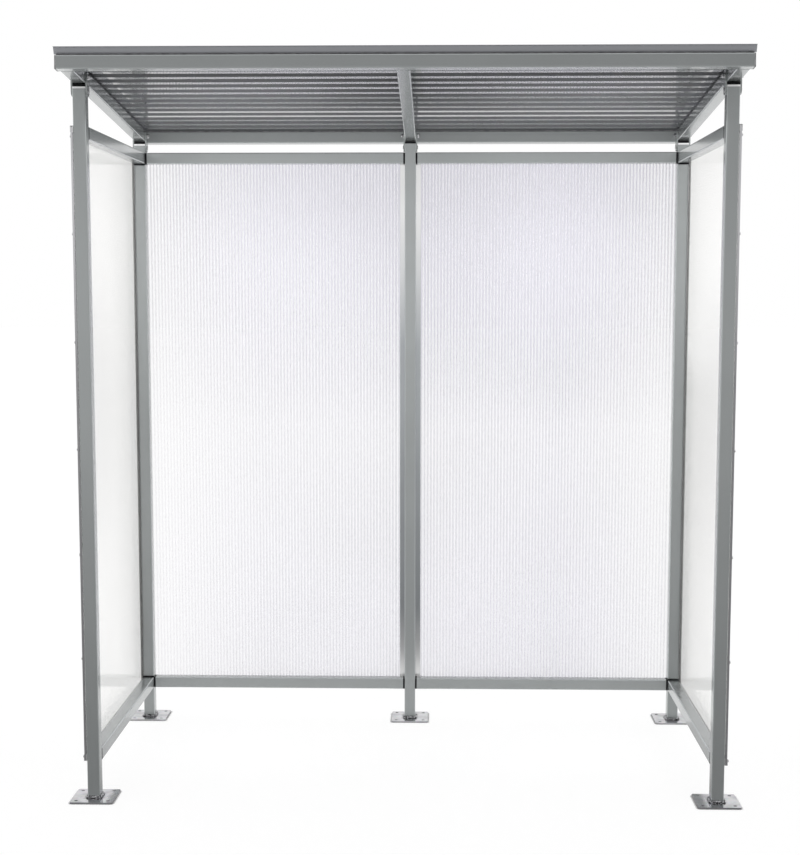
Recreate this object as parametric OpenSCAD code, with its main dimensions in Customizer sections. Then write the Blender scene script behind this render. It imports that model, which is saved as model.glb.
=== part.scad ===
// Open-fronted smoking shelter: a frame of square steel tube on bolted base
// plates, twin-wall panels on three sides and a corrugated roof that falls
// to the back. Seen from the front, +X is right, +Y is back and +Z is up.

/* [Frame] */
// Outside width over the corner posts
width = 2000; // [1200:10:3000]
// Outside depth over the front and back posts
depth = 1000; // [700:10:1600]
// Height of the front post tops above the ground
front_height = 2207; // [1900:1:2600]
// Height of the bottom rails' lower edge above the ground
bottom_rail_height = 115; // [60:5:300]
// Side of the square tube
tube = 40; // [30:1:60]
// Wall of the square tube
tube_wall = 2; // [1.5:0.5:3]
// Outside corner radius of the square tube
tube_corner = 4; // [3.5:0.5:6]

/* [Base plates] */
// Side of a square base plate
plate_side = 135; // [110:5:200]
// Thickness of a base plate
plate_t = 5; // [4:0.5:12]
// Corner radius of a base plate
plate_corner = 6; // [2:1:12]
// Distance between anchor holes along a side
plate_hole_spacing = 100; // [70:1:105]
// Diameter of an anchor hole
plate_hole = 11; // [8:0.5:16]

/* [End caps] */
// Thickness of a beam's plastic cap outside the tube
cap_head = 4; // [2:0.5:6]
// Thickness of a rail's plastic cap outside the tube
rail_cap_head = 5.5; // [3:0.5:8]
// Reach of a side rail's rear cap past the tube, towards the panel
cap_lip = 5; // [2:0.5:8]
// Thickness of a post's plastic cap outside the tube
post_cap_head = 7; // [3:0.5:10]
// Depth of a cap's plug inside the tube
cap_plug = 6; // [4:0.5:7]
// Clearance between a plug and the tube's inside
cap_fit = 0.25; // [0.1:0.05:0.5]

/* [Roof] */
// Fall of the roof to the back, in degrees
roof_pitch = 5; // [2:0.5:12]
// Reach of the front beam before the front posts
front_overhang = 185; // [60:5:400]
// Gap between the back posts and the rear beam
rear_beam_gap = 2; // [1:0.5:20]
// Clearance between the rafters and the post caps
roof_clearance = 0.5; // [0.3:0.1:2]
// Reach of the beams beyond the corner posts on each side
beam_side_reach = 4; // [0:1:40]
// Reach of the sheet beyond the corner posts on each side
sheet_side_reach = 12; // [8:1:60]
// Reach of the sheet before the front beam
sheet_front_reach = 5; // [0:1:60]
// Pitch of the corrugations
corrugation_pitch = 75; // [70:1:120]
// Height of the corrugated sheet over all
corrugation_height = 19; // [12:0.5:30]
// Width of a valley's flat bottom
valley_w = 28; // [15:1:30]
// Width of a flank, seen from above
flank_w = 10; // [6:0.5:15]
// Width of the ridge left at the front and rear edges of the sheet
ridge_lead = 8; // [4:0.5:10]
// Thickness of the roof sheet
sheet_t = 0.8; // [0.6:0.1:1.5]
// Thickness of the bedding strip under the sheet
bedding_t = 4; // [2:0.5:8]
// Width of the bedding strip
bedding_w = 30; // [15:1:30]

/* [Ear plates] */
// Thickness of an ear plate
ear_t = 5; // [3:0.5:8]
// Width of an ear plate, and the diameter of its round ends
ear_w = 32; // [24:1:38]
// Diameter of a bolt hole
bolt_hole = 9; // [6:0.5:11]
// Distance of the lower bolt below the post top
bolt_drop = 12; // [12:1:40]
// Gap between the back ear plates and the top rails
top_rail_gap = 3; // [1:0.5:40]

/* [Panels] */
// Thickness of a twin-wall panel
panel_t = 6; // [4:0.5:10]
// Thickness of a panel's outer walls
panel_skin = 0.6; // [0.4:0.1:1]
// Thickness of the webs between flutes
panel_web = 0.6; // [0.4:0.1:1]
// Pitch of the flutes
flute_pitch = 11.8; // [6:0.2:20]
// Room left for a panel to grow with heat
panel_play = 2; // [1:0.5:6]
// Clearance of a panel across its slot
panel_fit = 0.2; // [0.1:0.05:0.5]
// Height of an edge channel
channel_h = 20; // [12:1:40]
// Wall of the edge channels and of the joiner
channel_wall = 1.5; // [1:0.25:3]
// Height of the bottom channel above the bottom rails' lower edge
channel_rise = 9; // [0:1:20]
// Width of the joiner's flanges
joiner_w = 76; // [40:1:120]

/* [Hidden] */

// Small overshoot of cutters through a face
cut = 1;
half_tube = tube / 2;
inner_tube = tube - 2 * tube_wall;
inner_corner = tube_corner - tube_wall;

// Roof frame in its own axes: Y runs down the slope from the front beam's lower front edge
rear_beam_run = (front_overhang + depth + rear_beam_gap) / cos(roof_pitch);
roof_run = rear_beam_run + tube;
sheet_seat = tube + bedding_t;

// Corrugated sheet, from a ridge at its front edge to a ridge at its rear edge
ridge_w = corrugation_pitch - valley_w - 2 * flank_w;
valleys = ceil((sheet_front_reach + roof_run) / corrugation_pitch);
sheet_run = valleys * corrugation_pitch - ridge_w + 2 * ridge_lead;
valley_lift = sheet_seat + sheet_t / 2;
ridge_lift = sheet_seat + corrugation_height - sheet_t / 2;
flank_slope = atan((ridge_lift - valley_lift) / flank_w);
// Step from the sheet's middle line to its upper face at a bend, along the run and across it
bend_run = sheet_t / 2 * tan(flank_slope / 2);
bend_lift = sheet_t / 2;
function valley_points(run, side) = [
    [run + side * bend_run, ridge_lift + side * bend_lift],
    [run + flank_w + side * bend_run, valley_lift + side * bend_lift],
    [run + flank_w + valley_w - side * bend_run, valley_lift + side * bend_lift],
    [run + 2 * flank_w + valley_w - side * bend_run, ridge_lift + side * bend_lift]
];
function sheet_face(side) = concat(
    [[0, ridge_lift + side * bend_lift]],
    [for (i = [0 : valleys - 1]) each valley_points(ridge_lead + i * corrugation_pitch, side)],
    [[sheet_run, ridge_lift + side * bend_lift]]
);

// Places of the posts, with the whole object centred front to back
roof_front_end = sheet_front_reach * cos(roof_pitch) - ridge_lift * sin(roof_pitch);
sheet_top = sheet_seat + corrugation_height;
roof_back_end = (sheet_run - sheet_front_reach) * cos(roof_pitch) + sheet_top * sin(roof_pitch);
roof_y = (max(roof_front_end, 0) - roof_back_end) / 2;
frame_front = roof_y + front_overhang;
frame_back = frame_front + depth;
side_x = width / 2;
beam_x = side_x + beam_side_reach;
left_x = -side_x + half_tube;
right_x = side_x - half_tube;
front_y = frame_front + half_tube;
back_y = frame_back - half_tube;

// Heights of the posts, rails and roof
back_height = front_height - (depth - tube) * tan(roof_pitch);
rafter_rise = post_cap_head + roof_clearance + half_tube * tan(roof_pitch);
roof_z = front_height + rafter_rise + (front_overhang + half_tube) * tan(roof_pitch);
bolt_rise = rafter_rise + half_tube / cos(roof_pitch);
top_rail_z = back_height - bolt_drop - ear_w / 2 - top_rail_gap - half_tube;
bottom_rail_z = bottom_rail_height + half_tube;

// Panels and what holds their edges, measured outwards from the faces of the rails
slot_t = panel_t + panel_fit;
channel_t = slot_t + 2 * channel_wall;
panel_out = channel_wall + panel_fit / 2;
channel_low = bottom_rail_height + channel_rise;
channel_high = top_rail_z + half_tube;
panel_low = channel_low + channel_wall;
panel_high = channel_high - channel_wall - panel_play;
back_panel_w = side_x - channel_wall / 2 - panel_play;
back_channel_w = side_x - joiner_w / 2;

// Colours of the finishes
frame_paint = [0.60, 0.62, 0.62];
plate_zinc = [0.74, 0.75, 0.77];
cap_black = [0.06, 0.06, 0.07];
panel_white = [0.93, 0.95, 0.96];
trim_metal = [0.78, 0.80, 0.81];
sheet_metal = [0.63, 0.65, 0.67];

module rounded_square(side, corner) {
    square([side, side - 2 * corner], center = true);
    square([side - 2 * corner, side], center = true);
    for (x = [-1, 1], y = [-1, 1])
        translate([x, y] * (side / 2 - corner))
            circle(corner, $fn = 24);
}

module square_tube(length) {
    linear_extrude(length)
        difference() {
            rounded_square(tube, tube_corner);
            rounded_square(inner_tube, inner_corner);
        }
}

// A hole along X through everything within half a width of the axis
module cross_hole(y, z) {
    translate([0, y, z])
        rotate([0, 90, 0])
            cylinder(d = bolt_hole, h = tube + 2 * (ear_t + cut), center = true, $fn = 32);
}

// Posts and their base plates

module post(x, y, height) {
    color(frame_paint)
        translate([x, y, 0])
            difference() {
                translate([0, 0, plate_t])
                    square_tube(height - plate_t);
                cross_hole(0, height - bolt_drop);
            }
}

module base_plate(x, y) {
    color(plate_zinc)
        translate([x, y, 0])
            linear_extrude(plate_t)
                difference() {
                    rounded_square(plate_side, plate_corner);
                    for (i = [-1, 1], j = [-1, 1])
                        translate([i, j] * plate_hole_spacing / 2)
                            circle(d = plate_hole, $fn = 32);
                }
}

module left_front_post() { post(left_x, front_y, front_height); }
module right_front_post() { post(right_x, front_y, front_height); }
module left_back_post() { post(left_x, back_y, back_height); }
module middle_back_post() { post(0, back_y, back_height); }
module right_back_post() { post(right_x, back_y, back_height); }

module left_front_base_plate() { base_plate(left_x, front_y); }
module right_front_base_plate() { base_plate(right_x, front_y); }
module left_back_base_plate() { base_plate(left_x, back_y); }
module middle_back_base_plate() { base_plate(0, back_y); }
module right_back_base_plate() { base_plate(right_x, back_y); }

// A plate with round ends on each side of the post, bolted to the post and to the rafter over it

module ear_plates(x, y, height) {
    low = height - bolt_drop;
    high = height + bolt_rise;
    color(frame_paint)
        for (side = [-1, 1])
            translate([x + side * (half_tube + ear_t / 2), y, 0])
                rotate([90, 0, 90])
                    linear_extrude(ear_t, center = true)
                        difference() {
                            union() {
                                translate([-ear_w / 2, low])
                                    square([ear_w, high - low]);
                                for (z = [low, high])
                                    translate([0, z])
                                        circle(d = ear_w, $fn = 48);
                            }
                            for (z = [low, high])
                                translate([0, z])
                                    circle(d = bolt_hole, $fn = 32);
                        }
}

module left_front_ear_plates() { ear_plates(left_x, front_y, front_height); }
module right_front_ear_plates() { ear_plates(right_x, front_y, front_height); }
module left_back_ear_plates() { ear_plates(left_x, back_y, back_height); }
module middle_back_ear_plates() { ear_plates(0, back_y, back_height); }
module right_back_ear_plates() { ear_plates(right_x, back_y, back_height); }

// Rails between the posts, shorter than the gap by a cap at each end

module rail_along_x(from, to, y, z) {
    color(frame_paint)
        translate([from + rail_cap_head, y, z])
            rotate([0, 90, 0])
                square_tube(to - from - 2 * rail_cap_head);
}

module rail_along_y(x, z) {
    color(frame_paint)
        translate([x, frame_front + tube + rail_cap_head, z])
            rotate([-90, 0, 0])
                square_tube(depth - 2 * (tube + rail_cap_head));
}

module left_side_top_rail() { rail_along_y(left_x, top_rail_z); }
module left_side_bottom_rail() { rail_along_y(left_x, bottom_rail_z); }
module right_side_top_rail() { rail_along_y(right_x, top_rail_z); }
module right_side_bottom_rail() { rail_along_y(right_x, bottom_rail_z); }
module left_back_top_rail() { rail_along_x(-side_x + tube, -half_tube, back_y, top_rail_z); }
module left_back_bottom_rail() { rail_along_x(-side_x + tube, -half_tube, back_y, bottom_rail_z); }
module right_back_top_rail() { rail_along_x(half_tube, side_x - tube, back_y, top_rail_z); }
module right_back_bottom_rail() { rail_along_x(half_tube, side_x - tube, back_y, bottom_rail_z); }

// Plastic caps: the head is outside the tube and the plug inside it, along +Z

module end_cap(head) {
    color(cap_black) {
        translate([0, 0, -head])
            linear_extrude(head)
                rounded_square(tube, tube_corner);
        linear_extrude(cap_plug)
            rounded_square(inner_tube - 2 * cap_fit, inner_corner);
    }
}

module post_cap(x, y, height) {
    translate([x, y, height])
        rotate([180, 0, 0])
            end_cap(post_cap_head);
}

module post_caps() {
    for (x = [left_x, right_x])
        post_cap(x, front_y, front_height);
    for (x = [left_x, 0, right_x])
        post_cap(x, back_y, back_height);
}

// A side rail's rear cap, whose head also reaches up (side 1) or down (side -1)
module lipped_cap(side) {
    end_cap(rail_cap_head);
    color(cap_black)
        translate([-half_tube, side > 0 ? 0 : -half_tube - cap_lip, -rail_cap_head])
            cube([tube, half_tube + cap_lip, rail_cap_head]);
}

module rail_end_caps() {
    for (z = [top_rail_z, bottom_rail_z]) {
        for (x = [-side_x + tube + rail_cap_head, half_tube + rail_cap_head])
            translate([x, back_y, z])
                rotate([0, 90, 0])
                    end_cap(rail_cap_head);
        for (x = [side_x - tube - rail_cap_head, -half_tube - rail_cap_head])
            translate([x, back_y, z])
                rotate([0, -90, 0])
                    end_cap(rail_cap_head);
        for (x = [left_x, right_x]) {
            translate([x, frame_front + tube + rail_cap_head, z])
                rotate([-90, 0, 0])
                    end_cap(rail_cap_head);
            translate([x, frame_back - tube - rail_cap_head, z])
                rotate([90, 0, 0])
                    lipped_cap(z == top_rail_z ? -1 : 1);
        }
    }
}

// Roof frame: two beams with three rafters between them, tilted together

module on_roof() {
    translate([0, roof_y, roof_z])
        rotate([-roof_pitch, 0, 0])
            children();
}

module beam(run) {
    color(frame_paint)
        on_roof()
            translate([-beam_x, run + half_tube, half_tube])
                rotate([0, 90, 0])
                    square_tube(2 * beam_x);
}

module rafter(x) {
    color(frame_paint)
        difference() {
            on_roof()
                translate([x, tube, half_tube])
                    rotate([-90, 0, 0])
                        square_tube(rear_beam_run - tube);
            translate([x, 0, 0])
                cross_hole(back_y, back_height + bolt_rise);
            if (x != 0)
                translate([x, 0, 0])
                    cross_hole(front_y, front_height + bolt_rise);
        }
}

module front_beam() { beam(0); }
module rear_beam() { beam(rear_beam_run); }
module left_rafter() { rafter(left_x); }
module middle_rafter() { rafter(0); }
module right_rafter() { rafter(right_x); }

module beam_end_caps() {
    on_roof()
        for (run = [0, rear_beam_run], side = [-1, 1])
            translate([side * beam_x, run + half_tube, half_tube])
                rotate([0, -90 * side, 0])
                    end_cap(cap_head);
}

// Dark strips along the tops of the beams and rafters, which bed the sheet
module roof_bedding_strips() {
    beam_margin = (tube - bedding_w) / 2;
    rafter_from = tube - beam_margin + cut;
    rafter_to = rear_beam_run + beam_margin - cut;
    color(cap_black)
        on_roof() {
            for (run = [0, rear_beam_run])
                translate([-beam_x, run + beam_margin, tube])
                    cube([2 * beam_x, bedding_w, bedding_t]);
            for (x = [left_x, 0, right_x])
                translate([x - bedding_w / 2, rafter_from, tube])
                    cube([bedding_w, rafter_to - rafter_from, bedding_t]);
        }
}

// Corrugated sheet with its ridges along X
module roof_sheet() {
    upper = sheet_face(1);
    color(sheet_metal)
        on_roof()
            translate([-side_x - sheet_side_reach, -sheet_front_reach, 0])
                rotate([90, 0, 90])
                    linear_extrude(width + 2 * sheet_side_reach)
                        polygon(concat(sheet_face(-1), [for (i = [len(upper) - 1 : -1 : 0]) upper[i]]));
}

// Twin-wall panels with upright flutes, their width along +X and their thickness along +Y

module twin_wall_panel(panel_w) {
    flutes = floor((panel_w - panel_web) / flute_pitch);
    margin = (panel_w - flutes * flute_pitch + panel_web) / 2;
    color(panel_white)
        translate([0, 0, panel_low])
            linear_extrude(panel_high - panel_low)
                difference() {
                    square([panel_w, panel_t]);
                    for (i = [0 : flutes - 1])
                        translate([margin + i * flute_pitch, panel_skin])
                            square([flute_pitch - panel_web, panel_t - 2 * panel_skin]);
                }
}

module side_panel() {
    translate([side_x + panel_out + panel_t, frame_front, 0])
        rotate([0, 0, 90])
            twin_wall_panel(depth);
}

module back_panel() {
    translate([side_x - back_panel_w, frame_back + panel_out, 0])
        twin_wall_panel(back_panel_w);
}

module left_side_panel() {
    mirror([1, 0, 0])
        side_panel();
}
module right_side_panel() { side_panel(); }
module left_back_panel() {
    mirror([1, 0, 0])
        back_panel();
}
module right_back_panel() { back_panel(); }

// Edge channels: an upright U under the panel and the same turned over on top of it

module channel_pair(length) {
    color(trim_metal)
        for (top = [0, 1])
            translate([0, 0, top == 1 ? channel_high : channel_low])
                mirror([0, 0, top])
                    rotate([90, 0, 90])
                        linear_extrude(length)
                            difference() {
                                square([channel_t, channel_h]);
                                translate([channel_wall, channel_wall])
                                    square([slot_t, channel_h]);
                            }
}

module side_channels() {
    translate([side_x + channel_t, frame_front, 0])
        rotate([0, 0, 90])
            channel_pair(depth);
}

module back_channels() {
    translate([joiner_w / 2, frame_back, 0])
        channel_pair(back_channel_w);
}

module left_side_channels() {
    mirror([1, 0, 0])
        side_channels();
}
module right_side_channels() { side_channels(); }
module left_back_channels() {
    mirror([1, 0, 0])
        back_channels();
}
module right_back_channels() { back_channels(); }

// H section behind the middle post that takes the meeting edges of the back panels
module panel_joiner() {
    slot_w = (joiner_w - channel_wall) / 2;
    color(trim_metal)
        translate([0, frame_back, channel_low])
            linear_extrude(channel_high - channel_low)
                difference() {
                    translate([-joiner_w / 2, 0])
                        square([joiner_w, channel_t]);
                    for (x = [-joiner_w / 2 - cut, channel_wall / 2])
                        translate([x, channel_wall])
                            square([slot_w + cut, slot_t]);
                }
}

left_front_post();
right_front_post();
left_back_post();
middle_back_post();
right_back_post();
left_front_base_plate();
right_front_base_plate();
left_back_base_plate();
middle_back_base_plate();
right_back_base_plate();
left_front_ear_plates();
right_front_ear_plates();
left_back_ear_plates();
middle_back_ear_plates();
right_back_ear_plates();
left_side_top_rail();
left_side_bottom_rail();
right_side_top_rail();
right_side_bottom_rail();
left_back_top_rail();
left_back_bottom_rail();
right_back_top_rail();
right_back_bottom_rail();
front_beam();
rear_beam();
left_rafter();
middle_rafter();
right_rafter();
post_caps();
rail_end_caps();
beam_end_caps();
left_side_panel();
right_side_panel();
left_back_panel();
right_back_panel();
left_side_channels();
right_side_channels();
left_back_channels();
right_back_channels();
panel_joiner();
roof_bedding_strips();
roof_sheet();
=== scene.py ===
"""Looks of an open-fronted smoking shelter: its finishes, fixings, welds and studio."""

import math

import bpy
from mathutils import Euler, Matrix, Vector


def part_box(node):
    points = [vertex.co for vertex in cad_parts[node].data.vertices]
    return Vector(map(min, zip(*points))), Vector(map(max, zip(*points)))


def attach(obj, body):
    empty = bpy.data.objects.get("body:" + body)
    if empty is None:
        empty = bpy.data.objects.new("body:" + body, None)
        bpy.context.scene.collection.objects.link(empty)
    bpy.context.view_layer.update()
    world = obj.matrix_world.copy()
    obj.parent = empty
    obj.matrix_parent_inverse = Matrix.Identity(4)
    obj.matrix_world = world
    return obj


bl_info = {
    "name": "Smoking shelter looks",
    "version": (1, 0, 0),
    "blender": (4, 5, 0),
    "location": "3D View > Sidebar > Shelter",
    "description": "Finishes, bolts, screws, welds and a studio for a tubular smoking shelter",
    "category": "Object",
}

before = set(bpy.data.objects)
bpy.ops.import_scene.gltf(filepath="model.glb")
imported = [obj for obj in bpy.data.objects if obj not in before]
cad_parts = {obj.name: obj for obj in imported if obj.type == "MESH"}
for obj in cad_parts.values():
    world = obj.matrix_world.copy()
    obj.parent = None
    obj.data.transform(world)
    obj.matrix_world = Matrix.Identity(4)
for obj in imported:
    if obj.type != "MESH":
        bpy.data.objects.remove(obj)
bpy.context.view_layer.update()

CORNERS = ("left_front", "right_front", "left_back", "middle_back", "right_back")
RAILS = (
    "left_side_top_rail", "left_side_bottom_rail", "right_side_top_rail", "right_side_bottom_rail",
    "left_back_top_rail", "left_back_bottom_rail", "right_back_top_rail", "right_back_bottom_rail",
)
ROOF_TUBES = ("front_beam", "rear_beam", "left_rafter", "middle_rafter", "right_rafter")
SIDE_PANELS = ("left_side_panel", "right_side_panel")
BACK_PANELS = ("left_back_panel", "right_back_panel")
CHANNELS = ("left_side_channels", "right_side_channels", "left_back_channels", "right_back_channels")
WHITE = (1.0, 1.0, 1.0, 1.0)


# Settings

def length(name, description, default):
    """A length in metres, shown in the scene's units."""
    return bpy.props.FloatProperty(
        name=name, description=description, default=default, unit="LENGTH", subtype="DISTANCE", precision=4)


def colour(name, description, default):
    """A linear colour."""
    return bpy.props.FloatVectorProperty(
        name=name, description=description, default=default, subtype="COLOR", size=3, min=0.0, max=1.0)


def share(name, description, default):
    """A share between nothing and all."""
    return bpy.props.FloatProperty(
        name=name, description=description, default=default, subtype="FACTOR", min=0.0, max=1.0)


class ShelterFinish(bpy.types.PropertyGroup):
    paint: colour("Paint", "Silver-grey paint of the tubes", (0.385, 0.405, 0.405))
    paint_metal: share("Paint metal", "Share of metal flake in the paint", 0.50)
    paint_roughness: share("Paint roughness", "Roughness of the flake under the coat", 0.24)
    # Painted highlight at the top ends of the corner posts.
    post_highlight: length("Post highlight", "Height of the painted highlight at the top of a corner post", 0.005)
    # Painted shade: the back panels' plastic is given a darker colour than the side panels'.
    back_panel: colour("Back panel", "Twin-wall plastic of the back", (0.77, 0.76, 0.825))
    side_panel: colour("Side panel", "Twin-wall plastic of the sides", (0.94, 0.935, 0.91))
    back_cover: share("Back panel cover", "Share of light that one face of a back panel stops", 0.065)
    side_cover: share("Side panel cover", "Share of light that one face of a side panel stops", 0.035)
    web_cover: share("Web cover", "Share of light that a face stops along a web", 0.24)
    panel_gloss: share(
        "Panel gloss", "Share of light that one face of a panel mirrors at a glancing angle", 0.35)
    cut_edge: colour("Cut edge", "Polished cut edges of the panels", (0.30, 0.30, 0.31))
    cut_edge_width: length("Cut edge width", "Width of the strip that shows a panel's cut edge", 0.0090)
    flute_pitch: length("Flute pitch", "Distance between the webs of a panel", 0.0118)
    zinc: colour("Zinc", "Bright zinc of the base plates", (0.545, 0.545, 0.565))
    fastener: colour("Fastener", "Plated steel of bolts and screws", (0.80, 0.80, 0.81))
    aluminium: colour("Aluminium", "Mill-finished channels and joiner", (0.92, 0.92, 0.92))
    # Painted dark reflection: colour of the channels and joiner at mid-height.
    aluminium_dark_reflection: colour("Aluminium dark reflection", "Channels and joiner where a painted dark reflection lies", (0.33, 0.36, 0.38))
    sheet: colour("Sheet", "Coated corrugated sheet", (0.145, 0.148, 0.157))
    sheet_pitch: length("Sheet pitch", "Distance between the ridges of the corrugated sheet", 0.075)
    plastic: colour("Caps", "Black plastic of the tube caps", (0.005, 0.005, 0.006))
    beam_plastic: colour("Beam caps", "Grey plastic of the beams' caps", (0.22, 0.22, 0.225))
    foam: colour("Bedding", "Dark foam under the sheet", (0.10, 0.10, 0.103))
    weld: colour("Weld", "Weld metal at the feet", (0.16, 0.16, 0.165))


class ShelterFixings(bpy.types.PropertyGroup):
    bolt_width: length("Bolt width", "Width of a bolt head across its corners", 0.015)
    bolt_height: length("Bolt height", "Height of a bolt head", 0.0055)
    bolt_washer: length("Bolt washer", "Diameter of a bolt's washer", 0.017)
    bolt_washer_height: length("Bolt washer height", "Thickness of a bolt's washer", 0.0015)
    bolt_shank: length("Bolt shank", "Diameter of a bolt's shank", 0.0078)
    bolt_end: length("Bolt end", "Reach of a bolt's end beyond its nut", 0.003)
    shank_sink: length("Shank sink", "Depth of a shank's end below the top of its head", 0.001)
    pin_width: length("Pin width", "Width of the low round head at the lower end of an ear plate", 0.013)
    pin_height: length("Pin height", "Height of that low round head", 0.0022)
    pin_rim: length("Pin rim", "Thickness of the rim under that head", 0.0003)
    screw_width: length("Screw width", "Width of a panel screw's head", 0.010)
    screw_height: length("Screw height", "Height of a panel screw's head", 0.005)
    screw_shank: length("Screw shank", "Diameter of a screw's shank", 0.004)
    screw_washer: length("Screw washer", "Diameter of a panel screw's washer", 0.014)
    screw_washer_height: length("Screw washer height", "Thickness of a panel screw's washer", 0.0012)
    screw_first: length("First screw", "Height of the lowest screw through a panel", 0.449)
    screw_spacing: length("Screw spacing", "Distance between panel screws", 0.33)
    screw_margin: length("Screw margin", "Room between an end screw and a channel", 0.010)
    panel_hold: length("Panel hold", "Depth of a panel's edge in its channel", 0.0165)
    roof_fall: bpy.props.FloatProperty(
        name="Roof fall", description="Fall of the roof to the back",
        default=math.radians(5.0), unit="ROTATION")
    sheet_thickness: length("Sheet thickness", "Thickness of the corrugated sheet", 0.0008)
    roof_washer: length("Roof washer", "Diameter of a roofing screw's washer", 0.016)
    roof_washer_height: length("Roof washer height", "Thickness of a roofing screw's washer", 0.0016)
    roof_margin: length("Roof margin", "Distance of the outer roofing screws from the sheet's ends", 0.035)
    roof_steps: bpy.props.IntProperty(
        name="Roof steps", description="Steps between the roofing screws over a beam", default=6, min=1)


class ShelterWelds(bpy.types.PropertyGroup):
    bead: length("Bead", "Radius of a weld bead", 0.0055)
    ripple: length("Ripple", "Height of a weld's ripples", 0.0016)
    step: length("Step", "Distance between points along a bead", 0.0012)
    turn: length("Turn", "Radius of a bead's path round a post's corner", 0.005)


class ShelterStage(bpy.types.PropertyGroup):
    camera_place: bpy.props.FloatVectorProperty(
        name="Camera place", description="Where the camera stands", default=(0.1048, -5.2500, 1.6018),
        size=3, subtype="TRANSLATION", unit="LENGTH")
    camera_turn: bpy.props.FloatVectorProperty(
        name="Camera turn", description="Pitch, roll and yaw of a camera that looks along Y",
        default=(-0.11027, -0.0002, 0.0246), size=3, subtype="EULER", unit="ROTATION")
    lens: bpy.props.FloatProperty(
        name="Lens", description="Focal length on a sensor 36 mm high", default=66.34, unit="CAMERA")
    rise: bpy.props.FloatProperty(
        name="Rise", description="Upward shift of the view, as a share of its height", default=0.0422)
    sky: share("Sky", "Strength of the soft light from all round", 0.85)
    floor_white: bpy.props.FloatProperty(
        name="Floor white", description="Strength of the white that the floor shows",
        default=0.89, min=0.0, max=1.0)
    floor_shade: share("Floor shade", "Share of the object's shadow kept on the white floor", 0.18)
    floor_reach: length("Floor reach", "Half the width of the floor", 60.0)
    card: share("Card", "Strength of the grey cards that the shelter's gloss shows", 1.0)
    card_reach: length("Card reach", "Half the width of the cards before the shelter", 30.0)
    screen_place: length("Screen place", "Where the upright card stands along Y", -12.0)
    screen_height: length("Screen height", "Height of the upright card", 11.0)
    mat_end: length("Mat end", "Where the card on the floor ends along Y", 0.5)
    mat_lift: length("Mat lift", "Height of the card over the ground, and depth of the floor under it", 0.0005)
    side_card_place: length("Side card place", "Where the side cards stand along Y", -0.3)
    side_card_inner: length("Side card inner", "Distance of a side card's inner edge from the middle", 1.06)
    side_card_outer: length("Side card outer", "Distance of a side card's outer edge from the middle", 1.5)
    side_card_low: length("Side card low", "Height of a side card's lower edge", 0.2)
    side_card_high: length("Side card high", "Height of a side card's upper edge", 2.2)
    inner_light: bpy.props.FloatProperty(
        name="Inner light", description="Power of the soft light at the open front, in watts",
        default=9.5, min=0.0)
    lamp_side: length("Lamp side", "Distance of the lamps from the middle", 0.6)
    lamp_place: length("Lamp place", "Where the lamps stand along Y", -0.45)
    lamp_target: length("Lamp target", "Where the lamps aim along Y", 0.54)
    lamp_width: length("Lamp width", "Width of a lamp", 0.7)
    lamp_height: length("Lamp height", "Height of a lamp", 0.6)


# Node helpers

def add_node(tree, kind, inputs=None, **settings):
    """Adds a node, sets its properties and sets or links its inputs."""
    made = tree.nodes.new(kind)
    for name, value in settings.items():
        setattr(made, name, value)
    for key, value in (inputs or {}).items():
        if isinstance(value, bpy.types.NodeSocket):
            tree.links.new(value, made.inputs[key])
        else:
            made.inputs[key].default_value = value
    return made


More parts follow.
